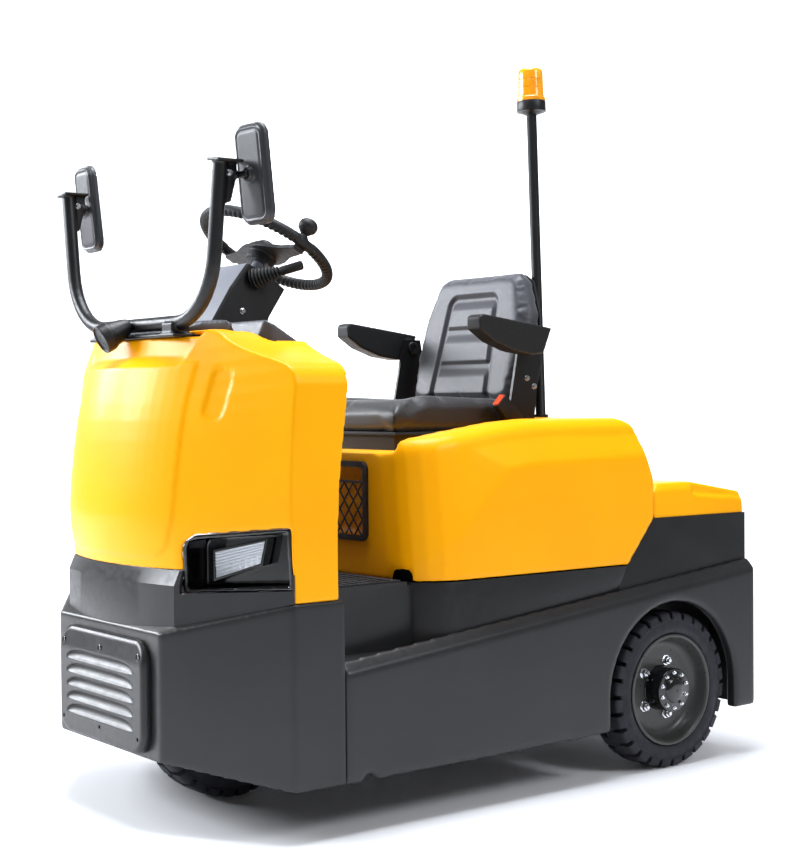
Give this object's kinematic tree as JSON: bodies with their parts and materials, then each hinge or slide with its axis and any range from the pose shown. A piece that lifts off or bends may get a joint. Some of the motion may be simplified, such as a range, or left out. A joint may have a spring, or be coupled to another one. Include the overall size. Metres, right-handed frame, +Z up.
{
  "type": "airport tow tractor",
  "caption": "Three-wheeled electric tow tractor with a moulded cowl, mirror bar, a seat on the hinged battery hood, steps, a beacon mast and a rear pin hitch.",
  "frame": {"origin": "on the ground below the middle of the overall box", "axes": "+Z up, the front faces -Y, +X to the driver's left"},
  "size_m": [1.05, 1.873, 1.8964],
  "materials": {
    "chassis_grey": "satin",
    "panel_yellow": "satin",
    "mat_rubber": "matte",
    "gloss_black": "gloss",
    "clear_lens": "gloss",
    "matte_black": "matte",
    "black_steel": "satin",
    "mirror_glass": "gloss",
    "seat_vinyl": "satin",
    "amber_lens": "gloss",
    "red_lens": "gloss",
    "bright_steel": "satin",
    "battery_green": "satin",
    "tyre_black": "matte",
    "wheel_grey": "satin"
  },
  "bodies": {
    "chassis": {"bumper": "chassis_grey", "front_cover": "chassis_grey", "sills": "chassis_grey", "battery_bay": "chassis_grey", "rear_body": "chassis_grey", "floor_pan": "chassis_grey", "floor_mat": "mat_rubber", "nose": "chassis_grey", "cowl": "panel_yellow", "headlamp_housings": "gloss_black", "headlamp_lenses": "clear_lens", "dash": "matte_black", "steering_column": "matte_black", "shift_lever": "matte_black", "pedals": "matte_black", "mirror_bar": "black_steel", "mirror_housings": "matte_black", "mirror_glasses": "mirror_glass", "work_lamp": "matte_black", "hood_hinges": "black_steel", "rear_cover": "panel_yellow", "rear_lamps": "red_lens", "tow_hitch": "chassis_grey", "rear_axle": "black_steel", "battery": "battery_green"},
    "fork": {"front_fork": "black_steel"},
    "front_wheel": {"front_tyre": "tyre_black", "front_wheel": "wheel_grey"},
    "rear_wheel_left": {"rear_tyre_left": "tyre_black", "rear_wheel_left": "wheel_grey"},
    "rear_wheel_right": {"rear_tyre_right": "tyre_black", "rear_wheel_right": "wheel_grey"},
    "steering_wheel": {"steering_wheel": "matte_black"},
    "hood": {"hood": "panel_yellow", "hood_lugs": "black_steel", "net_pocket": "matte_black", "pocket_net": "matte_black", "seat_base": "matte_black", "seat_cushion": "seat_vinyl", "seat_back": "seat_vinyl", "seat_shell": "matte_black", "belt_buckle": "matte_black", "belt_retractor": "matte_black", "beacon_mast": "black_steel", "beacon_lens": "amber_lens"},
    "armrest_left": {"armrest_left": "seat_vinyl"},
    "armrest_right": {"armrest_right": "seat_vinyl"},
    "tow_pin": {"tow_pin": "bright_steel"}
  },
  "joints": [
    {"name": "steer", "type": "hinge", "parent": "chassis", "child": "fork", "pos_m": [0, -0.585, 0.48], "axis": [0, 0, 1], "range_deg": [-75, 75]},
    {"name": "front_wheel_roll", "type": "hinge", "parent": "fork", "child": "front_wheel", "pos_m": [0, -0.585, 0.2075], "axis": [1, 0, 0], "continuous": true},
    {"name": "rear_wheel_left_roll", "type": "hinge", "parent": "chassis", "child": "rear_wheel_left", "pos_m": [0.454, 0.49, 0.2075], "axis": [1, 0, 0], "continuous": true},
    {"name": "rear_wheel_right_roll", "type": "hinge", "parent": "chassis", "child": "rear_wheel_right", "pos_m": [-0.454, 0.49, 0.2075], "axis": [1, 0, 0], "continuous": true},
    {"name": "steering_wheel_turn", "type": "hinge", "parent": "chassis", "child": "steering_wheel", "pos_m": [0, -0.451, 1.37], "axis": [0, 0.5075, 0.8616], "range_deg": [-300, 300]},
    {"name": "hood_open", "type": "hinge", "parent": "chassis", "child": "hood", "pos_m": [0, 0.45, 0.77], "axis": [-1, 0, 0], "range_deg": [0, 55]},
    {"name": "armrest_left_fold", "type": "hinge", "parent": "hood", "child": "armrest_left", "pos_m": [0.284, 0.211, 1.135], "axis": [-1, 0, 0], "range_deg": [0, 85]},
    {"name": "armrest_right_fold", "type": "hinge", "parent": "hood", "child": "armrest_right", "pos_m": [-0.284, 0.211, 1.135], "axis": [-1, 0, 0], "range_deg": [0, 85]},
    {"name": "tow_pin_lift", "type": "slide", "parent": "chassis", "child": "tow_pin", "axis": [0, 0, 1], "range_m": [0, 0.19]}
  ],
  "couplings": [
    {"joint": "steering_wheel_turn", "follows": "steer", "ratio": 4}
  ]
}
